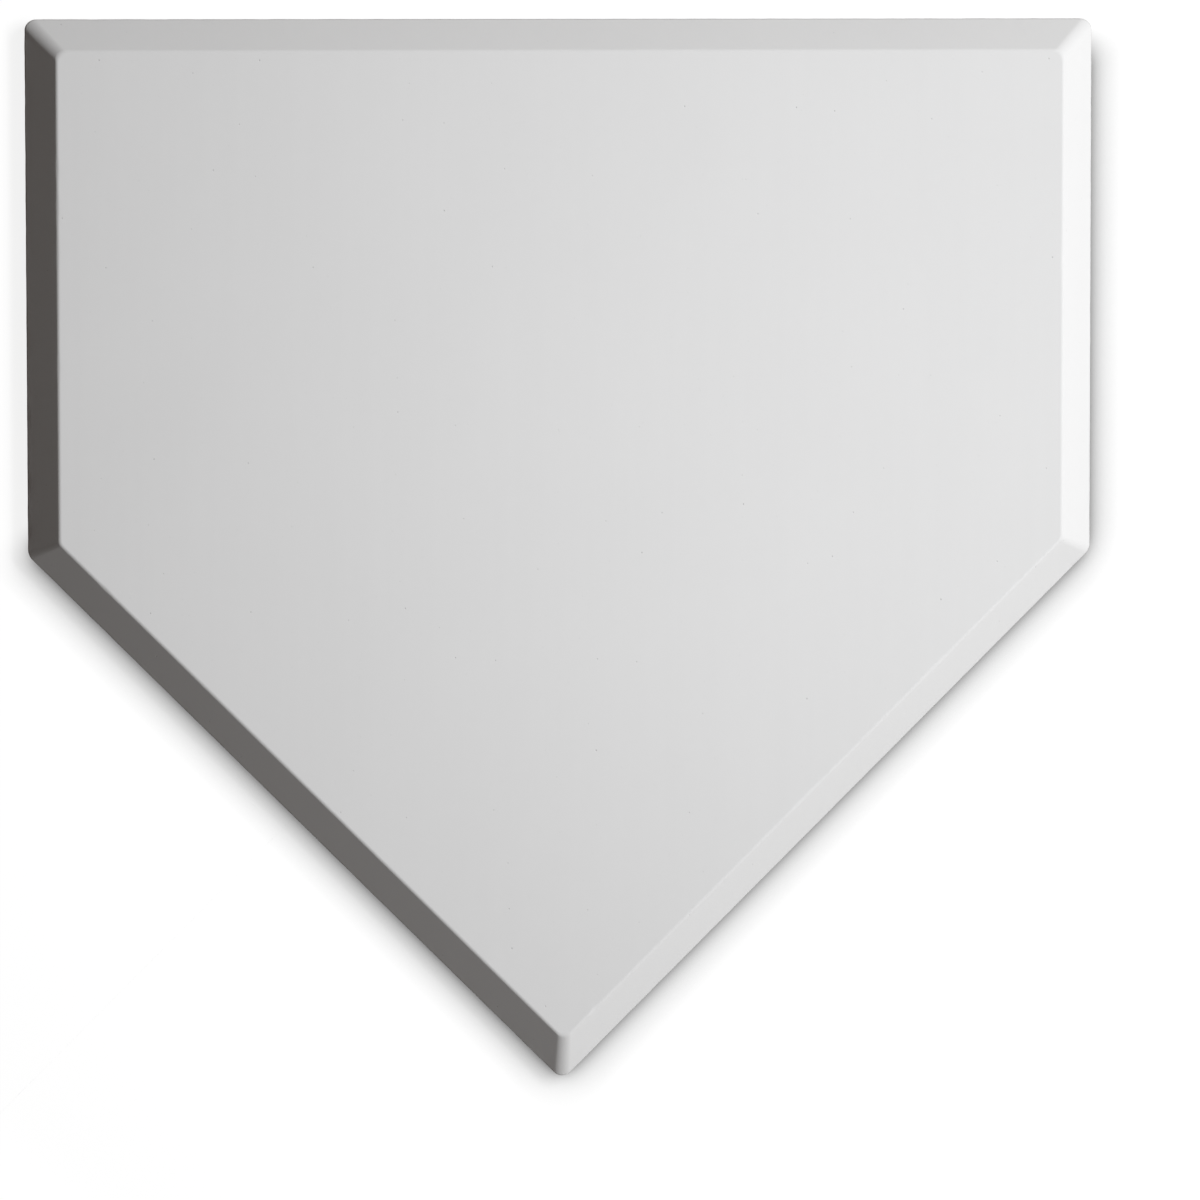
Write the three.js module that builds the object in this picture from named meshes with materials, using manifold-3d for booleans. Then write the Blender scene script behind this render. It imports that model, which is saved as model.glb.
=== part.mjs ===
// Home plate for baseball, moulded in white rubber: a five-sided slab with a bevelled edge,
// standing on a flat rim and on a waffle of ribs that bed into the ground.
// Millimetres. +Z is up, +Y runs to the front edge and the tip points to -Y.
import * as THREE from 'three';
import { mergeVertices } from 'three/addons/utils/BufferGeometryUtils.js';
import Module from 'manifold-3d';

// Outline seen from above, with sharp corners
const frontWidth = 431.8; // 17 in
const sideLength = 215.9; // 8.5 in
const tipDepth = 215.9; // from the shoulders to the tip, so that each slant is 12 in long
const squareCornerRadius = 4.5; // front corners and tip, at the edge
const shoulderRadius = 6; // where a side turns into a slant, at the edge
const faceCornerRadius = 4; // every corner of the top face

// Edge of the plate, from the ground up
const pocketDepth = 6.35; // underside pockets, and so the height of the rim
const landHeight = 0.7; // upright land between the pocket floor and the bevel
const bevelRise = 12;
const bevelRun = 12.7; // 0.5 in
const footArris = 1; // round at the rim's outer foot
const edgeArris = 1; // round between edge and bevel
const faceArris = 2.2; // round between bevel and top face

// Waffle underside
const rimWidth = 17; // at the foot
const rimCornerRadius = 1; // inner corners of the rim
const ribWidth = 6.1; // at the free edge
const pocketColumns = 10; // equal pockets across the inside of the rim
const crossRibDrop = 2.2; // the cross ribs stop this far short of the ground
const shortestCrossRib = 40; // no cross rib closer to the tip than this allows
const draftAngle = 5; // degrees, on the walls of the pockets
const rootRadius = 1.6; // fillet where a wall meets the pocket floor
const seatClearance = 0.3; // between a rib and what it is let into or ends at

// Facets
const planSteps = 8; // per corner of an outline
const profileSteps = 4; // per round of an edge
const rootSteps = 3; // per fillet of a rib
const roundShare = 0.45; // a round takes at most this share of the shorter wall beside it
const overcut = 2; // how far a cutting solid runs past what it cuts

const white = { color: 0xe4e4e2, roughness: 0.8, metalness: 0 };

const draft = Math.tan(THREE.MathUtils.degToRad(draftAngle));
const slabFoot = pocketDepth;
const bevelFoot = slabFoot + landHeight;
const plateTop = bevelFoot + bevelRise;
const innerWidth = frontWidth - 2 * rimWidth;
const ribPitch = (innerWidth + ribWidth) / pocketColumns;

const wasm = await Module();
wasm.setup();

const point = (x, y) => new THREE.Vector2(x, y);

// Follows a path of corners and rounds each one to its radius. A closed path goes round all of
// its corners; the two ends of an open path only give the direction of its first and last walls.
function roundCorners(corners, steps, closed) {
  const count = corners.length;
  return corners.flatMap(({ at, radius }, i) => {
    if (!closed && (i === 0 || i === count - 1)) return [];
    if (!radius) return [at];
    const back = corners[(i + count - 1) % count].at.clone().sub(at);
    const onward = corners[(i + 1) % count].at.clone().sub(at);
    const shorterWall = Math.min(back.length(), onward.length());
    const halfAngle = back.angleTo(onward) / 2;
    const tangent = Math.min(radius / Math.tan(halfAngle), roundShare * shorterWall);
    const start = at.clone().addScaledVector(back.normalize(), tangent);
    const middle = back.clone().add(onward.normalize()).normalize();
    const centre = at.clone().addScaledVector(middle, tangent / Math.cos(halfAngle));
    const turn = Math.sign(onward.cross(back)) * (Math.PI - 2 * halfAngle);
    const fractions = Array.from({ length: steps + 1 }, (_, k) => k / steps);
    return fractions.map((fraction) => start.clone().rotateAround(centre, turn * fraction));
  });
}

// Counter-clockwise from the front left corner. Y is 0 at the front edge.
const outline = [
  { at: point(-frontWidth / 2, 0), edgeRadius: squareCornerRadius },
  { at: point(-frontWidth / 2, -sideLength), edgeRadius: shoulderRadius },
  { at: point(0, -sideLength - tipDepth), edgeRadius: squareCornerRadius },
  { at: point(frontWidth / 2, -sideLength), edgeRadius: shoulderRadius },
  { at: point(frontWidth / 2, 0), edgeRadius: squareCornerRadius },
];

// Unit vectors that point into the plate, square to the side after each corner
const inward = outline.map(({ at }, i) => {
  const along = outline[(i + 1) % outline.length].at.clone().sub(at).normalize();
  return point(-along.y, along.x);
});

// The outline drawn inwards by an equal distance on all sides, at one height
function ring(inset, height, radiusAt) {
  const corners = outline.map((corner, i) => {
    const before = inward[(i + outline.length - 1) % outline.length];
    const after = inward[i];
    const slide = before.clone().add(after).multiplyScalar(inset / (1 + before.dot(after)));
    return { at: corner.at.clone().add(slide), radius: radiusAt(corner) };
  });
  return roundCorners(corners, planSteps, true).map(({ x, y }) => new THREE.Vector3(x, y, height));
}

// A closed skin over rings that rise one above the other, with a flat cap at each end
function loft(rings) {
  const count = rings[0].length;
  const indices = [];
  for (let level = 0; level + 1 < rings.length; level += 1) {
    for (let i = 0; i < count; i += 1) {
      const a = level * count + i;
      const b = level * count + ((i + 1) % count);
      indices.push(a, b, b + count, a, b + count, a + count);
    }
  }
  const topStart = (rings.length - 1) * count;
  for (const [a, b, c] of THREE.ShapeUtils.triangulateShape(rings[0], [])) {
    indices.push(a, c, b);
  }
  for (const [a, b, c] of THREE.ShapeUtils.triangulateShape(rings.at(-1), [])) {
    indices.push(topStart + a, topStart + b, topStart + c);
  }
  const geometry = new THREE.BufferGeometry().setFromPoints(rings.flat());
  geometry.setIndex(indices);
  return geometry;
}

function solidOf(geometry) {
  const bare = geometry.clone();
  bare.deleteAttribute('normal');
  bare.deleteAttribute('uv');
  const closed = mergeVertices(bare);
  const vertProperties = closed.getAttribute('position').array;
  const triVerts = Uint32Array.from(closed.getIndex().array);
  return new wasm.Manifold(new wasm.Mesh({ numProp: 3, vertProperties, triVerts }));
}

function geometryOf(solid) {
  const { numProp, vertProperties, triVerts } = solid.getMesh();
  const geometry = new THREE.BufferGeometry();
  geometry.setAttribute('position', new THREE.BufferAttribute(vertProperties, numProp));
  geometry.setIndex(new THREE.BufferAttribute(triVerts, 1));
  geometry.computeVertexNormals();
  return geometry;
}

// Slab: land, bevel and top face. The corners tighten from the edge to the face.
function faceSlab() {
  const profile = [
    point(0, slabFoot),
    ...roundCorners(
      [
        { at: point(0, slabFoot) },
        { at: point(0, bevelFoot), radius: edgeArris },
        { at: point(bevelRun, plateTop), radius: faceArris },
        { at: point(frontWidth / 2, plateTop) },
      ],
      profileSteps,
      false,
    ),
  ];
  const rings = profile.map(({ x: inset, y: height }) => {
    const share = Math.min(inset / bevelRun, 1);
    const radiusAt = ({ edgeRadius }) => THREE.MathUtils.lerp(edgeRadius, faceCornerRadius, share);
    return ring(inset, height, radiusAt);
  });
  return loft(rings);
}

// The space inside the rim: its wall leans in by the draft and turns into the pocket floor
function pocketSpace(clearance) {
  const floorInset = rimWidth + draft * pocketDepth;
  const mouth = point(rimWidth - draft * overcut, -overcut);
  const root = roundCorners(
    [
      { at: mouth },
      { at: point(floorInset, pocketDepth), radius: rootRadius },
      { at: point(frontWidth / 2, pocketDepth) },
    ],
    profileSteps,
    false,
  );
  const top = point(root.at(-1).x, pocketDepth + overcut);
  const profile = [mouth, ...root, top];
  return solidOf(loft(profile.map(({ x, y }) => ring(x + clearance, y, () => rimCornerRadius))));
}

function undersideRim() {
  const foot = roundCorners(
    [
      { at: point(rimWidth, 0) },
      { at: point(0, 0), radius: footArris },
      { at: point(0, pocketDepth) },
    ],
    profileSteps,
    false,
  );
  const profile = [...foot, point(0, slabFoot)];
  const block = loft(profile.map(({ x, y }) => ring(x, y, ({ edgeRadius }) => edgeRadius)));
  return geometryOf(solidOf(block).subtract(pocketSpace(0)));
}

// Cross-section of a rib: free edge, drafted flanks and a fillet out onto the pocket floor.
// A base below the floor makes the section long enough to cut with.
function ribSection(freeWidth, freeLevel, base) {
  const footHalf = freeWidth / 2 + draft * (pocketDepth - freeLevel);
  const flank = roundCorners(
    [
      { at: point(frontWidth / 2, pocketDepth) },
      { at: point(footHalf, pocketDepth), radius: rootRadius },
      { at: point(freeWidth / 2, freeLevel), radius: 0 },
      { at: point(0, freeLevel) },
    ],
    rootSteps,
    false,
  );
  const toe = base > 0 ? [point(flank[0].x, pocketDepth + base)] : [];
  const right = [...toe, ...flank];
  const left = right.map(({ x, y }) => point(-x, y)).reverse();
  return new THREE.Shape([...right, ...left]);
}

function longBar(x) {
  const bar = new THREE.ExtrudeGeometry(ribSection(ribWidth, 0, 0), {
    depth: sideLength + tipDepth,
    bevelEnabled: false,
  });
  return solidOf(bar.rotateX(Math.PI / 2).translate(x, 0, 0));
}

function crossBar(y, clearance, base) {
  const section = ribSection(ribWidth + 2 * clearance, crossRibDrop - clearance, base);
  const bar = new THREE.ExtrudeGeometry(section, { depth: frontWidth, bevelEnabled: false });
  const across = new THREE.Matrix4().makeBasis(
    new THREE.Vector3(0, 1, 0),
    new THREE.Vector3(0, 0, 1),
    new THREE.Vector3(1, 0, 0),
  );
  return solidOf(bar.applyMatrix4(across).translate(-frontWidth / 2, y, 0));
}

// Rib centres: the long ribs share the inside of the rim equally, and the cross ribs follow
// from the front at the same pitch, so that the pockets are square.
const longRibPlaces = Array.from(
  { length: pocketColumns - 1 },
  (_, i) => (i + 1) * ribPitch - (innerWidth + ribWidth) / 2,
);
const slantLength = Math.hypot(frontWidth / 2, tipDepth);
const innerTipDepth = sideLength + tipDepth - (rimWidth * slantLength) / (frontWidth / 2) - rimWidth;
const tipRoom = (shortestCrossRib / 2) * (tipDepth / (frontWidth / 2));
const crossRibCount = Math.floor((innerTipDepth - tipRoom + ribWidth / 2) / ribPitch);
const crossRibPlaces = Array.from(
  { length: crossRibCount },
  (_, i) => ribWidth / 2 - rimWidth - (i + 1) * ribPitch,
);

function rubberPiece(name, geometry) {
  const piece = new THREE.Mesh(geometry, new THREE.MeshStandardMaterial(white));
  piece.name = name;
  return piece;
}

const waffle = new THREE.Group();
const ribSpace = pocketSpace(seatClearance);

// The long ribs are notched to lie over the cross ribs, which run through from rim to rim.
const notches = crossRibPlaces
  .map((y) => crossBar(y, seatClearance, overcut))
  .reduce((all, notch) => all.add(notch));
longRibPlaces.forEach((x, i) => {
  const rib = longBar(x).intersect(ribSpace).subtract(notches);
  waffle.add(rubberPiece(`long_rib_${i + 1}`, geometryOf(rib)));
});
crossRibPlaces.forEach((y, i) => {
  const rib = crossBar(y, 0, 0).intersect(ribSpace);
  waffle.add(rubberPiece(`cross_rib_${i + 1}`, geometryOf(rib)));
});

// The rounded tip ends a little short of the sharp one. The origin is the middle of the foot.
const tipEnd = Math.min(...ring(0, 0, ({ edgeRadius }) => edgeRadius).map(({ y }) => y));
const homePlate = new THREE.Group();
homePlate.name = 'home_plate';
homePlate.position.y = -tipEnd / 2;
homePlate.add(rubberPiece('face_slab', faceSlab()));
homePlate.add(rubberPiece('underside_rim', undersideRim()));
homePlate.add(waffle);

export default homePlate;
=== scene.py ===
import math

import bpy
import numpy as np
from mathutils import Matrix, Vector


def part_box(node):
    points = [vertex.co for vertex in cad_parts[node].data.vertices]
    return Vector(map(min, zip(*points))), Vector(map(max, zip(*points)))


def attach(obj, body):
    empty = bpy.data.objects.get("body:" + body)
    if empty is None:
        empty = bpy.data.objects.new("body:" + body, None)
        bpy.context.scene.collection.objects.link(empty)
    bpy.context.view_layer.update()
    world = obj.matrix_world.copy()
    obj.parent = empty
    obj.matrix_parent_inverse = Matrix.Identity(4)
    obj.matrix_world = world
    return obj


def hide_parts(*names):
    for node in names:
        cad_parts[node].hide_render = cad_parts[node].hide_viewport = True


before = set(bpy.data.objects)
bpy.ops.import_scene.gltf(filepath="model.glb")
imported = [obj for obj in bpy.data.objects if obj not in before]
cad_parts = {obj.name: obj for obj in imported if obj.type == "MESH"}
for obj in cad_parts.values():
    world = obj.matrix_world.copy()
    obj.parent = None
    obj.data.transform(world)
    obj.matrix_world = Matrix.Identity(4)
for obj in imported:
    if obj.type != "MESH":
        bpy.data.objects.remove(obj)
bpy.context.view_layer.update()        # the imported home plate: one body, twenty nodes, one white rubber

mm = 0.001

# Places that the frame gives
slabLow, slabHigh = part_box("face_slab")
halfWidth = slabHigh.x
frontY = slabHigh.y
shoulderY = frontY - halfWidth      # each side is half as long as the front edge
tipY = shoulderY - halfWidth        # the slants meet at a right angle, here as a sharp tip
floorZ = slabLow.z                  # floor of the underside pockets, where slab and rim part
faceZ = slabHigh.z
print("frame: plate", round(2 * halfWidth / mm, 1), "mm wide,", round(faceZ / mm, 2), "mm thick")


# Node trees: a Wire is an output that takes part in sums, a Net is the tree that holds it

class Wire:
    def __init__(self, net, node, out=0):
        self.net = net
        self.node = node
        self.socket = node.outputs[out] if len(node.outputs) else None

    def of(self, out):      # another output of the same node
        return Wire(self.net, self.node, out)

    def math(self, operation, first, second):
        return self.net.add("Math", {"operation": operation}, {0: first, 1: second})

    def __add__(self, other):
        return self.math("ADD", self, other)

    def __radd__(self, other):
        return self.math("ADD", other, self)

    def __sub__(self, other):
        return self.math("SUBTRACT", self, other)

    def __rsub__(self, other):
        return self.math("SUBTRACT", other, self)

    def __mul__(self, other):
        return self.math("MULTIPLY", self, other)

    def __rmul__(self, other):
        return self.math("MULTIPLY", other, self)

    def __or__(self, other):
        return self.math("MAXIMUM", self, other)

    def __gt__(self, other):
        return self.math("GREATER_THAN", self, other)


class Net:
    def __init__(self, owner):
        owner.use_nodes = True
        self.tree = owner.node_tree
        self.tree.nodes.clear()

    def add(self, kind, settings=None, sockets=None, out=0):      # any node: its settings, then its sockets
        node = self.tree.nodes.new("ShaderNode" + kind)
        for name, value in (settings or {}).items():
            setattr(node, name, value)
        for key, value in (sockets or {}).items():
            if isinstance(value, Wire):
                self.tree.links.new(value.socket, node.inputs[key])
            else:
                node.inputs[key].default_value = value
        return Wire(self, node, out)

    def ramp(self, value, low, high, first=0.0, last=1.0):      # smooth step between two values
        return self.add(
            "MapRange",
            {"interpolation_type": "SMOOTHSTEP", "clamp": True},
            {"Value": value, "From Min": low, "From Max": high, "To Min": first, "To Max": last},
        )

    def noise(self, place, size, detail, roughness=0.55):      # clouds about as large as size, round 0
        look = {"Vector": place, "Scale": 1 / size, "Detail": detail, "Roughness": roughness}
        return self.add("TexNoise", {"noise_dimensions": "3D"}, look, "Fac") - 0.5


# White rubber: moulded matte, faintly mottled and streaked, with fine grain, specks and a few pinholes

rubberLook = {
    "colour": (0.755, 0.755, 0.755),
    "roughness": 0.66, "roughnessSpread": 0.16,
    "specular": 0.15,
    "mottleSize": 60 * mm, "mottleDetail": 3.0, "mottle": 0.030,
    "cloudSize": 6 * mm, "cloudDetail": 3.0, "cloud": 0.016,
    "grainSize": 0.9 * mm, "grainDetail": 1.0, "grainHeight": 0.004,      # heights in mm
    "swellSize": 14 * mm, "swellDetail": 1.0, "swellHeight": 0.02,
    "pitSpacing": 20 * mm, "pitRadius": 0.42 * mm, "pitShare": 0.55,
    # pinholes are dented by the bump, and their colour is darkened as painted shade inside them
    "pitPaintedShade": 0.20, "pitDepth": 0.10,
    "speckSpacing": 3.5 * mm, "speckRadius": 0.45 * mm, "speckShare": 0.8,
    "speckDark": 0.12, "speckSpan": 0.18,      # from this much darker, over this span, to a little lighter
    "spotLeast": 0.35, "spotSoft": 0.6,      # smallest spot and soft margin, as shares of the radius
    "streakSize": 6 * mm, "streakRun": 150 * mm, "streak": 0.016,
    "lineSize": 0.7 * mm, "lineRun": 90 * mm, "lineHeight": 0.012, "line": 0.015,
    "drawnDetail": 2.0,      # of streaks and lines
}


def spots(net, place, dimensions, spacing, radius, share):
    # 1 inside a spot round the point of each lattice cell, 0 outside. Spots are of uneven size, and only a
    # share of the cells has one. The second value is a random number for each cell.
    cells = net.add(
        "TexVoronoi",
        {"voronoi_dimensions": dimensions, "feature": "F1"},
        {"Vector": place, "Scale": 1 / spacing},
        "Distance",
    )
    chance = net.add("SeparateColor", None, {"Color": cells.of("Color")}, "Red")
    least, soft = rubberLook["spotLeast"], rubberLook["spotSoft"]
    reach = (least + (1 - least) * chance.of("Green")) * (radius / spacing)
    edge = net.ramp(cells - reach, -soft * radius / spacing, 0.0, 1.0, 0.0)
    return edge * (chance > 1 - share), chance.of("Blue")


def drawnNoise(net, place, size, run, axis):
    # Noise stretched along one axis, so that it is as wide as size and as long as run, round 0.
    stretch = [1 / size] * 3
    stretch[axis] = 1 / run
    drawn = net.add("Mapping", None, {"Vector": place, "Scale": stretch})
    look = {"Vector": drawn, "Scale": 1.0, "Detail": rubberLook["drawnDetail"]}
    return net.add("TexNoise", None, look, "Fac") - 0.5


def whiteRubber(name, lineAxis=None, streakAxis=None):
    # Tone is 1 plus a share of each pattern, and scales the colour. The heights add up into one bump.
    look = rubberLook
    material = bpy.data.materials.new(name)
    net = Net(material)
    place = net.add("TexCoord", out="Object")
    mottle = net.noise(place, look["mottleSize"], look["mottleDetail"])
    cloud = net.noise(place, look["cloudSize"], look["cloudDetail"])
    grain = net.noise(place, look["grainSize"], look["grainDetail"])
    swell = net.noise(place, look["swellSize"], look["swellDetail"])
    pit, _ = spots(net, place, "2D", look["pitSpacing"], look["pitRadius"], look["pitShare"])      # pinholes
    speck, shade = spots(net, place, "3D", look["speckSpacing"], look["speckRadius"], look["speckShare"])

    height = look["grainHeight"] * grain + look["swellHeight"] * swell - look["pitDepth"] * pit
    # inside each pinhole the tone drops: painted shade in the pit
    tone = 1 + look["mottle"] * mottle + look["cloud"] * cloud - look["pitPaintedShade"] * pit
    tone = tone + speck * (look["speckSpan"] * shade - look["speckDark"])
    if streakAxis is not None:      # faint streaks of the moulding
        streaks = drawnNoise(net, place, look["streakSize"], look["streakRun"], streakAxis)
        tone = tone + look["streak"] * streaks
    if lineAxis is not None:      # tool lines left by the mould along a rib
        lines = drawnNoise(net, place, look["lineSize"], look["lineRun"], lineAxis)
        height = height + look["lineHeight"] * lines
        tone = tone + look["line"] * lines

    colour = net.add("VectorMath", {"operation": "SCALE"}, {0: look["colour"], "Scale": tone})
    bump = net.add("Bump", None, {"Strength": 1.0, "Distance": mm, "Height": height})
    shader = net.add(
        "BsdfPrincipled",
        None,
        {
            "Base Color": colour,
            "Roughness": look["roughness"] + look["roughnessSpread"] * cloud,
            "Specular IOR Level": look["specular"],
            "Normal": bump,
        },
    )
    net.add("OutputMaterial", None, {"Surface": shader})
    return material


faceRubber = whiteRubber("faceRubber", streakAxis=1)
rimRubber = whiteRubber("rimRubber")
longRibRubber = whiteRubber("longRibRubber", 1)
crossRibRubber = whiteRubber("crossRibRubber", 0)
print("materials: white rubber, plain, streaked and with tool lines")


# Meshes: a grid of points whose columns close on themselves becomes one closed skin

def skin(name, node, grid, material, closedRows=False):
    # grid[row, column] is a point. Rows either close on themselves, or each end is drawn to a pole.
    rows, columns = grid.shape[:2]
    index = np.arange(rows * columns).reshape(rows, columns)
    points = grid.reshape(-1, 3)
    if closedRows:
        index = np.vstack([index, index[:1]])
    ahead = np.roll(index, -1, 1)
    faces = np.stack([index[:-1], ahead[:-1], ahead[1:], index[1:]], -1).reshape(-1, 4).tolist()
    if not closedRows:
        first, last = len(points), len(points) + 1
        points = np.vstack([points, grid[0].mean(0), grid[-1].mean(0)])
        faces += np.stack([ahead[0], index[0], np.full(columns, first)], -1).tolist()
        faces += np.stack([index[-1], ahead[-1], np.full(columns, last)], -1).tolist()
    mesh = bpy.data.meshes.new(name)
    mesh.from_pydata(points.tolist(), [], faces)
    mesh.polygons.foreach_set("use_smooth", np.ones(len(mesh.polygons), bool))
    mesh.materials.append(material)
    mesh.update()
    piece = bpy.data.objects.new(name, mesh)
    bpy.context.scene.collection.objects.link(piece)
    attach(piece, "root")
    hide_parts(node)
    return piece


def roundedPath(corners, steps, hold):
    # Straight walls through (a, b, radius) corners. An inner corner with a radius becomes an arc that
    # touches both walls, with one more point `hold` before and after it, so shading stays on the arc.
    path = [np.array([corners[0][:2]])]
    for before, corner, after in zip(corners, corners[1:], corners[2:]):
        at = np.array(corner[:2])
        back = np.array(before[:2]) - at
        onward = np.array(after[:2]) - at
        back, onward = back / np.hypot(*back), onward / np.hypot(*onward)
        half = math.acos(np.clip(back @ onward, -1, 1)) / 2
        middle = (back + onward) / np.hypot(*(back + onward))
        centre = at + middle * corner[2] / math.sin(half)
        start = at + back * corner[2] / math.tan(half) - centre
        turn = np.sign(onward[0] * back[1] - onward[1] * back[0]) * (math.pi - 2 * half)
        angle = np.linspace(0, turn, steps + 1)[:, None]
        sideways = np.array([-start[1], start[0]])
        arc = centre + start * np.cos(angle) + sideways * np.sin(angle)
        path += [arc[:1] + hold * back, arc, arc[-1:] + hold * onward]
    path.append(np.array([corners[-1][:2]]))
    return np.concatenate(path)


def refined(path, longest):
    # Points are added along each straight stretch until none is longer than `longest`.
    length = np.hypot(*np.diff(path, axis=0).T)
    pieces = np.maximum(np.ceil(length / longest).astype(int), 1)
    shares = [np.arange(count)[:, None] / count for count in pieces]
    runs = [a + share * (b - a) for a, b, share in zip(path, path[1:], shares)]
    return np.concatenate(runs + [path[-1:]])


# Outline of the plate, seen from above, anticlockwise from the front left corner

plan = {
    "corners": np.array([
        (-halfWidth, frontY), (-halfWidth, shoulderY), (0, tipY), (halfWidth, shoulderY), (halfWidth, frontY),
    ]),
    "edgeRound": np.array([4.5, 6.0, 4.5, 6.0, 4.5]) * mm,
    "arcSteps": 18,
    "sideStep": 2.4 * mm,
    "crowding": 0.8,      # how much closer the points of a side stand towards its corners, 0 for evenly
    "hubShare": 0.9,      # where the flats draw together, in half widths behind the front edge
}


def planRings(inset, rounds):
    # Ring r is the outline drawn in by inset[r], with corner c rounded to rounds[r, c]: the corner slides
    # in along its bisector, an arc about a point one radius further in replaces it, and straight runs
    # join the arcs, closer together towards the corners.
    corners = plan["corners"]
    along = np.roll(corners, -1, 0) - corners
    length = np.hypot(*along.T)
    along = along / length[:, None]
    after = np.stack([along[:, 1], -along[:, 0]], 1)      # outward from the side after each corner
    before = np.roll(after, 1, 0)
    facing = (before * after).sum(1)
    lean = (before + after) / (1 + facing)[:, None]
    centre = corners - (inset[:, None] + rounds)[..., None] * lean
    turn = np.arccos(np.clip(facing, -1, 1))
    angle = np.arctan2(before[:, 1], before[:, 0])[:, None]
    angle = angle + turn[:, None] * np.linspace(0, 1, plan["arcSteps"] + 1)
    spokes = np.stack([np.cos(angle), np.sin(angle)], -1)
    arcs = centre[:, :, None] + rounds[:, :, None, None] * spokes
    rings, outward = [], []
    for c in range(len(corners)):
        share = np.linspace(0, 1, int(length[c] / plan["sideStep"]) + 2)[1:-1]
        share = (share - plan["crowding"] * np.sin(2 * np.pi * share) / (2 * np.pi))[:, None]
        start, end = arcs[:, c, -1:], arcs[:, (c + 1) % len(corners), :1]
        rings += [arcs[:, c], start + share * (end - start)]
        outward += [spokes[c], np.repeat(after[c:c + 1], len(share), 0)]
    return np.concatenate(rings, 1), np.concatenate(outward)


edgeRing, outward = planRings(np.zeros(1), plan["edgeRound"][None])
stepLength = np.hypot(*(np.roll(edgeRing[0], -1, 0) - edgeRing[0]).T)
walk = np.concatenate([[0], np.cumsum(stepLength)[:-1]])      # distance walked round the edge
girth = stepLength.sum()


def carried(path, rounds):
    # A profile of (inset, height) carried round the outline, as grid[row, column], with the unit
    # directions square to it: outward by the profile's own normal.
    flat, _ = planRings(path[:, 0], rounds)
    height = np.repeat(path[:, 1:2], flat.shape[1], 1)
    grid = np.concatenate([flat, height[..., None]], -1)
    slope = np.gradient(path, axis=0)
    slope = slope / np.maximum(np.hypot(*slope.T), 1e-12)[:, None]
    normal = np.concatenate([
        slope[:, 1, None, None] * outward[None],
        np.repeat(slope[:, 0, None, None], len(outward), 1),
    ], -1)
    return grid, normal


# Trimmed edge: the flash line of the mould, the knife's wander along it, and small nicks

edgeWear = {
    "seed": 17,
    "wander": 0.015 * mm, "wanderWaves": (50, 320), "wanderTerms": 60,
    "bead": 0.14 * mm, "beadHalf": 0.22 * mm, "beadInset": 1.0 * mm,
    "beadMean": 0.85, "beadSpread": 0.15,
    "nicks": 34, "nickDepth": (0.05 * mm, 0.18 * mm), "nickHalf": (1.2 * mm, 2.4 * mm),
    "nickReach": 0.7 * mm,
}


def edgeWander(seed):
    # A sum of sine waves that fit a whole number of times round the plate, finer ones lower.
    draw = np.random.default_rng(seed)
    waves = draw.integers(*edgeWear["wanderWaves"], edgeWear["wanderTerms"])
    phase = draw.uniform(0, 2 * np.pi, len(waves))
    size = waves.min() / waves
    total = (size[:, None] * np.sin(2 * np.pi * np.outer(waves, walk / girth) + phase[:, None])).sum(0)
    return total / total.std()


wander = edgeWander(edgeWear["seed"])
beadWander = edgeWear["beadMean"] + edgeWear["beadSpread"] * edgeWander(edgeWear["seed"] + 1)


def trimmed(path, hold):
    # Outward shift of a profile's points: the knife's wander fades in with `hold`, a share for each row,
    # and the bead is a bell over the height of the flash line, on the outer wall only.
    bell = np.exp(-((path[:, 1] - floorZ) / edgeWear["beadHalf"]) ** 2)
    bell = bell * (path[:, 0] < edgeWear["beadInset"])
    return edgeWear["wander"] * hold[:, None] * wander + edgeWear["bead"] * bell[:, None] * beadWander


def nicked(path, ridges, seed):
    # Dents along a ridge of the profile: each is a bell along the edge times a bell across it.
    draw = np.random.default_rng(seed)
    count = edgeWear["nicks"]
    across = np.concatenate([[0], np.cumsum(np.hypot(*np.diff(path, axis=0).T))])
    ridge = across[draw.choice(ridges, count)]
    at = draw.uniform(0, girth, count)
    depth = draw.uniform(*edgeWear["nickDepth"], count)
    half = draw.uniform(*edgeWear["nickHalf"], count)
    away = (walk - at[:, None] + girth / 2) % girth - girth / 2
    bellAlong = np.exp(-(away / half[:, None]) ** 2)
    bellAcross = np.exp(-((across - ridge[:, None]) / edgeWear["nickReach"]) ** 2)
    return -np.einsum("k,kr,kn->rn", depth, bellAcross, bellAlong)


def disc(ring, shares):
    # The inside of a flat ring: copies of it shrunk towards a point on the middle line.
    hub = np.array([0.0, frontY - plan["hubShare"] * halfWidth, ring[0, 2]])
    return hub + shares[:, None, None] * (ring - hub)


# Slab: land, bevel and top face, closed by the floor of the pockets

slab = {
    "landHeight": 0.7 * mm,
    "bevelRun": 12.7 * mm,
    "edgeArris": 1.0 * mm,
    "faceArris": 2.2 * mm,
    "faceCorner": 4 * mm,
    "faceRun": 4 * mm,      # flat margin of the face before its rings begin
    "arcSteps": 8, "arcHold": 0.12 * mm,
    "bevelStep": 1.2 * mm,
    "faceRings": 12,
    "nickInset": 0.3 * mm,      # where the outer row of nicks lies
    "wanderReach": 0.3,      # share of the bevel over which the knife's wander fades
}


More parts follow.
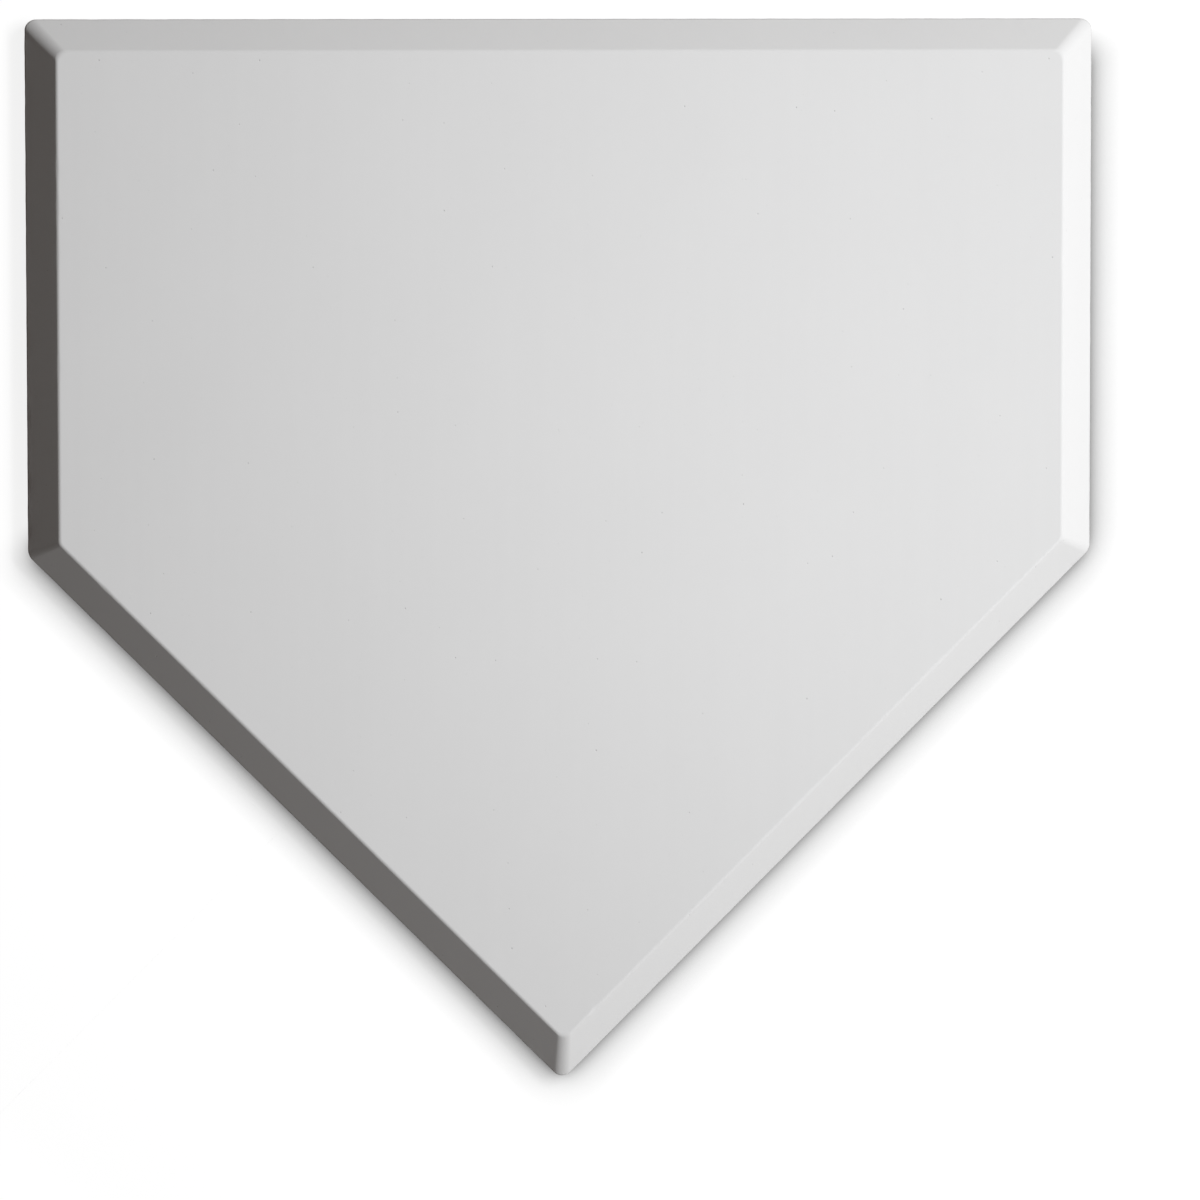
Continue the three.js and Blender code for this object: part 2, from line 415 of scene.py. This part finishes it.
def faceSkin():
    # Wall, bevel and margin of the face are one rounded profile carried round the outline, shifted by the
    # edge's wear. The pocket floor and the face are its first and last ring shrunk to a point.
    bevelFoot = floorZ + slab["landHeight"]
    path = roundedPath([
        (0, floorZ),
        (0, bevelFoot, slab["edgeArris"]),
        (slab["bevelRun"], faceZ, slab["faceArris"]),
        (slab["bevelRun"] + slab["faceRun"], faceZ),
    ], slab["arcSteps"], slab["arcHold"])
    path = refined(path, slab["bevelStep"])
    up = np.clip(path[:, 0] / slab["bevelRun"], 0, 1)
    rounds = plan["edgeRound"] + up[:, None] * (slab["faceCorner"] - plan["edgeRound"])
    grid, normal = carried(path, rounds)
    ridges = [np.abs(path[:, 0] - inset).argmin() for inset in (slab["nickInset"], slab["bevelRun"])]
    shift = trimmed(path, np.clip(1 - up / slab["wanderReach"], 0, 1))
    shift = shift + nicked(path, ridges, edgeWear["seed"] + 2)
    grid = grid + shift[..., None] * normal
    grid[-1, :, 2] = faceZ
    shares = np.linspace(0, 1, slab["faceRings"] + 1)[1:-1]
    grid = np.concatenate([disc(grid[0], shares), grid, disc(grid[-1], shares[::-1])])
    return skin("face_skin", "face_slab", grid, faceRubber)


faceSkin()
print("slab: bevelled skin made")


# Rim: outer wall, flat foot and the drafted wall of the pockets, as one closed section

rim = {
    "width": 17 * mm,
    "footArris": 1.0 * mm,
    "innerArris": 0.4 * mm,
    "innerCorner": 1.0 * mm, "cornerPower": 4,      # corners stay round until close to the pockets
    "draft": math.radians(5),
    "root": 1.6 * mm,
    "arcSteps": 6, "arcHold": 0.12 * mm,
    "step": 2.0 * mm,
    "wanderReach": 2.0 * mm,      # width over which the knife's wander fades under the foot
    "bury": 0.4 * mm,      # how far the hidden back of a rib or of the rim runs into the slab
    "lap": 0.4 * mm, "sink": 0.004 * mm,      # a fillet's toe runs on this far, this deep under the floor
}


def filletToe(foot):
    # A root fillet meets the floor one tangent length past the wall's foot.
    return foot + rim["root"] / math.tan(math.pi / 4 + rim["draft"] / 2)


def rimSkin():
    # Root fillet, drafted inner wall, foot and outer wall are one rounded profile, closed by a hidden back
    # inside the slab, and carried round the outline as a closed ring.
    wallFoot = rim["width"] + math.tan(rim["draft"]) * floorZ
    toe = filletToe(wallFoot)
    lap = toe + rim["lap"]
    back = floorZ + rim["bury"]
    path = roundedPath([
        (toe, floorZ),
        (wallFoot, floorZ, rim["root"]),
        (rim["width"], 0, rim["innerArris"]),
        (0, 0, rim["footArris"]),
        (0, floorZ),
    ], rim["arcSteps"], rim["arcHold"])
    path = refined(path[2:], rim["step"])
    path = np.concatenate([[(lap, floorZ + rim["sink"])], path, [(rim["bury"], back), (lap, back)]])
    inner = np.clip(path[:, :1] / rim["width"], 0, 1)
    rounds = plan["edgeRound"] + inner ** rim["cornerPower"] * (rim["innerCorner"] - plan["edgeRound"])
    grid, normal = carried(path, rounds)
    shown = (np.arange(len(path)) < len(path) - 2).astype(float)
    outer = shown * np.clip(1 - path[:, 0] / rim["wanderReach"], 0, 1)
    corner = [np.hypot(path[:, 0], path[:, 1]).argmin()]
    shift = (trimmed(path, outer) + nicked(path, corner, edgeWear["seed"] + 3)) * shown[:, None]
    grid = grid + shift[..., None] * normal
    grid[..., 2] = np.maximum(grid[..., 2], 0)
    return skin("rim_skin", "underside_rim", grid, rimRubber, closedRows=True)


rimSkin()
print("rim: one closed ring made")


# Ribs: one drafted section with filleted roots, run from wall to wall

rib = {
    "width": 6.1 * mm,      # at the free edge
    "arris": 0.35 * mm,
    "intoRim": 2 * mm,
    "flush": 0.005 * mm,      # a long rib's free edge lies this much inside the rim's foot
    "endHold": 0.4 * mm,      # a row this close to each end keeps the shading of the end inside the rim
    "step": 5 * mm,
    "arcSteps": 5, "arcHold": 0.1 * mm,
    "wander": 0.016 * mm, "wanderWaves": (25 * mm, 110 * mm), "wanderTerms": 12,
    "longSeed": 100, "crossSeed": 200,
}


def ribSection(freeZ):
    # Half of the section from the hidden back over fillet, flank and arris to the middle, then its mirror.
    freeHalf = rib["width"] / 2
    footHalf = freeHalf + math.tan(rim["draft"]) * (floorZ - freeZ)
    toe = filletToe(footHalf)
    half = roundedPath([
        (toe, floorZ),
        (footHalf, floorZ, rim["root"]),
        (freeHalf, freeZ, rib["arris"]),
        (0, freeZ),
    ], rib["arcSteps"], rib["arcHold"])[2:]
    lap = toe + rim["lap"]
    half = np.concatenate([[(lap, floorZ + rim["bury"]), (lap, floorZ + rim["sink"])], half])
    return np.concatenate([half, half[-2::-1] * (-1, 1)])


def slantEnd(across):
    # Where a rib at this distance from the middle line ends: a little way into the rim of the slant.
    return tipY + np.abs(across) + (rim["width"] - rib["intoRim"]) * math.sqrt(2)


def ribSkin(node, name, alongY, material, seed):
    # Point (t, v) is the section's point v, set at t of the way between the walls that end it there. The
    # flanks stray sideways by the mean of some sine waves.
    low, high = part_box(node)
    freeZ = max(low.z, rib["flush"])
    section = ribSection(freeZ)
    wall = halfWidth - rim["width"] + rib["intoRim"]
    if alongY:
        across = section[:, 0] + (low.x + high.x) / 2
        start, end = slantEnd(across), np.full(len(across), frontY - halfWidth + wall)
    else:
        across = section[:, 0] + (low.y + high.y) / 2
        end = np.minimum(wall, across - slantEnd(0))
        start = -end
    length = (end - start).max()
    t = np.linspace(0, 1, int(length / rib["step"]) + 2)
    t = np.sort(np.append(t, [rib["endHold"] / length, 1 - rib["endHold"] / length]))[:, None]
    along = start + t * (end - start)
    draw = np.random.default_rng(seed)
    waves = draw.uniform(*rib["wanderWaves"], rib["wanderTerms"])
    phase = draw.uniform(0, 2 * np.pi, rib["wanderTerms"])
    stray = rib["wander"] * np.sin(2 * np.pi * along[..., None] / waves + phase).mean(-1)
    side = across + stray * np.sign(section[:, 0])
    height = np.broadcast_to(section[:, 1], along.shape)
    order = (side, along, height) if alongY else (along, side, height)
    grid = np.stack(order, -1)
    if not alongY:
        grid = grid[::-1]
    return skin(name, node, grid, material)


longNodes = sorted(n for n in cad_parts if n.startswith("long_rib"))
crossNodes = sorted(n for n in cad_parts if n.startswith("cross_rib"))
for i, node in enumerate(longNodes):
    ribSkin(node, node + "_skin", True, longRibRubber, rib["longSeed"] + i)
for i, node in enumerate(crossNodes):
    ribSkin(node, node + "_skin", False, crossRibRubber, rib["crossSeed"] + i)
print("ribs:", len(longNodes), "long and", len(crossNodes), "across")


# Studio: white floor that keeps the shadow, a large soft lamp from the right, one low in front, one above

studio = {
    "floorHalf": 30.0,
    "floorDrop": 0.1 * mm,
    "floorPale": 0.20, "floorGlow": 0.87,      # as seen: what it takes of the lamps, and light of its own
    "fadeStart": 0.31, "fadeEnd": 0.45,      # distance over which it turns plain white
    "shadeReach": 17 * mm, "shadeDepth": 1.5, "shadeSamples": 16,      # soft shade close to the plate,
    "shadeLean": (0.425, -0.905, 0.0), "shadeStart": -0.104, "shadeEnd": -0.083,      # right and below only
    "floorBounce": (0.227, 0.202, 0.180),      # what lights the plate from below
    "ambient": (0.0135, 0.0047, 0.0),
    "lampColour": (0.991, 1.0, 1.007),
}
lamps = {
    "keyLamp": {"place": (1.477, 0.76, 1.659), "width": 1.6, "height": 0.4, "power": 53.2},
    "fillLamp": {"place": (1.174, -2.082, 0.40), "width": 1.2, "height": 0.7, "power": 14.4},
    "topLamp": {"place": (0.123, 0.027, 0.50), "width": 0.3, "height": 0.3, "power": 0.583},
}


def seenRays(net):      # 1 for what the camera sees, straight or in a gloss, and 0 for light on its way
    path = net.add("LightPath", out="Is Camera Ray")
    return path | path.of("Is Glossy Ray") | path.of("Is Transmission Ray")


def floorAndWorld():
    # Seen, the floor is a pale matt that keeps the shadow, plus light of its own, times a painted shade near
    # the plate, on its right and below only. As a source of light it is a plain matt, and the world a weak
    # surround.
    size = studio["floorHalf"]
    drop = -studio["floorDrop"]
    mesh = bpy.data.meshes.new("floor")
    mesh.from_pydata(
        [(-size, -size, drop), (size, -size, drop), (size, size, drop), (-size, size, drop)],
        [],
        [(0, 1, 2, 3)],
    )
    floor = bpy.data.objects.new("floor", mesh)
    bpy.context.scene.collection.objects.link(floor)
    material = bpy.data.materials.new("paleFloor")
    mesh.materials.append(material)
    net = Net(material)
    place = net.add("TexCoord", out="Object")
    reach = net.add("VectorMath", {"operation": "LENGTH"}, {0: place}, "Value")
    glow = net.ramp(reach, studio["fadeStart"], studio["fadeEnd"], studio["floorGlow"], 1.0)
    # painted shade: ambient occlusion darkens the floor's seen colour near the plate, on its right and below
    # only
    lean = net.add("VectorMath", {"operation": "DOT_PRODUCT"}, {0: place, 1: studio["shadeLean"]}, "Value")
    fine = {"samples": studio["shadeSamples"]}
    clear = net.add("AmbientOcclusion", fine, {"Distance": studio["shadeReach"]}, "AO")
    depth = net.ramp(lean, studio["shadeStart"], studio["shadeEnd"], 0, studio["shadeDepth"])
    keep = 1 - (1 - clear) * depth
    pale = net.add("BsdfDiffuse", None, {"Color": (studio["floorPale"],) * 3 + (1,)})
    white = net.add("Emission", None, {"Color": glow, "Strength": 1.0})
    lit = net.add("AddShader", None, {0: pale, 1: white})
    shown = net.add("MixShader", None, {0: keep, 2: lit})      # the other input stays empty, which is black
    bounce = net.add("BsdfDiffuse", None, {"Color": studio["floorBounce"] + (1,)})
    mixed = net.add("MixShader", None, {0: seenRays(net), 1: bounce, 2: shown})
    net.add("OutputMaterial", None, {"Surface": mixed})

    world = bpy.data.worlds.new("studioWorld")
    bpy.context.scene.world = world
    net = Net(world)
    ambient = net.add("Background", None, {"Color": studio["ambient"] + (1,), "Strength": 1.0})
    white = net.add("Background", None, {"Color": (1, 1, 1, 1), "Strength": 1.0})
    mixed = net.add("MixShader", None, {0: seenRays(net), 1: ambient, 2: white})
    net.add("OutputWorld", None, {"Surface": mixed})


def softLamp(name, look):      # a flat lamp that faces the plate and isn't seen itself
    data = bpy.data.lights.new(name, "AREA")
    data.shape = "RECTANGLE"
    data.size = look["width"]
    data.size_y = look["height"]
    data.energy = look["power"]
    data.color = studio["lampColour"]
    lamp = bpy.data.objects.new(name, data)
    bpy.context.scene.collection.objects.link(lamp)
    lamp.location = look["place"]
    lamp.rotation_euler = lamp.location.to_track_quat("Z", "Y").to_euler()
    lamp.visible_camera = False


floorAndWorld()
for name, look in lamps.items():
    softLamp(name, look)
print("studio: floor, world and", len(lamps), "lamps set")


# Camera, from the corners of the plate in the photograph's frame

viewpoint = {
    "place": (-0.18665, 0.20716, 3.0),
    "aim": (0.01569, -0.02045, 0.007),
    "roll": math.radians(-0.363),
    "lens": 222.0,
    "sensor": 36.0,
    "clipEnd": 100.0,
}


def setCamera():      # looks from its place at its aim, level with the front edge, then rolled about its axis
    data = bpy.data.cameras.new("camera")
    data.lens = viewpoint["lens"]
    data.sensor_width = viewpoint["sensor"]
    data.clip_end = viewpoint["clipEnd"]
    camera = bpy.data.objects.new("camera", data)
    bpy.context.scene.collection.objects.link(camera)
    look = (Vector(viewpoint["aim"]) - Vector(viewpoint["place"])).normalized()
    level = (Vector((1, 0, 0)) - look.x * look).normalized()
    right = Matrix.Rotation(viewpoint["roll"], 3, -look) @ level
    up = right.cross(look)
    turn = Matrix((right, up, -look)).transposed().to_4x4()
    camera.matrix_world = Matrix.Translation(viewpoint["place"]) @ turn
    bpy.context.scene.camera = camera


setCamera()
bpy.context.scene.view_settings.view_transform = "Standard"
print("camera set")
